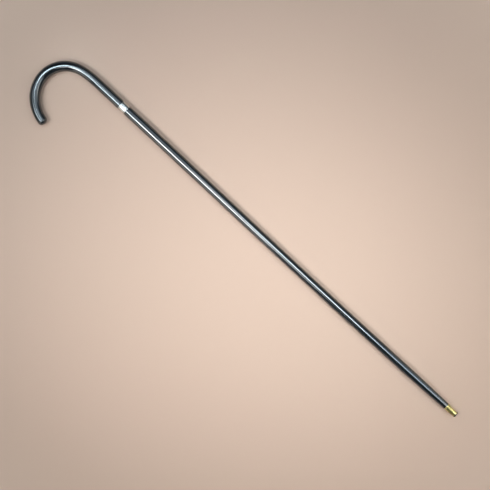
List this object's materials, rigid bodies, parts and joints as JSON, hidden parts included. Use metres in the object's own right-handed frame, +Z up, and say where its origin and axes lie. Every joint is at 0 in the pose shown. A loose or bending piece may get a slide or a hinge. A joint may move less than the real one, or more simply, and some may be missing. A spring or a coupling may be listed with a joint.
{
  "type": "curved handle walking stick",
  "caption": "Slim walking stick of black wood with a crook handle bent on a former, a polished metal collar over the joint and a tapered metal ferrule.",
  "frame": {"origin": "Middle of the stick's footprint on the surface that it lies on: centre of the bounding box in X and Y, bottom in Z.", "axes": "+X along the shaft from the ferrule's ground face to the crook, +Y towards the side that the crook curls to, +Z up from the surface that the stick lies on."},
  "size_m": [0.916, 0.128, 0.0187],
  "materials": {
    "black_wood": "ebonised hardwood under a clear gloss lacquer",
    "silver": "polished silver",
    "brass": "polished, worn to a soft sheen",
    "heel_steel": "dull and scratched by the ground",
    "stud_steel": "bright rolled rod"
  },
  "bodies": {
    "root": {"crook_handle": "black_wood", "shaft": "black_wood", "joint_stud": "stud_steel", "collar_band": "silver", "collar_wire_upper": "silver", "collar_wire_lower": "silver", "ferrule": "brass", "ferrule_pin_left": "brass", "ferrule_pin_right": "brass", "ferrule_heel": "heel_steel"}
  },
  "joints": []
}
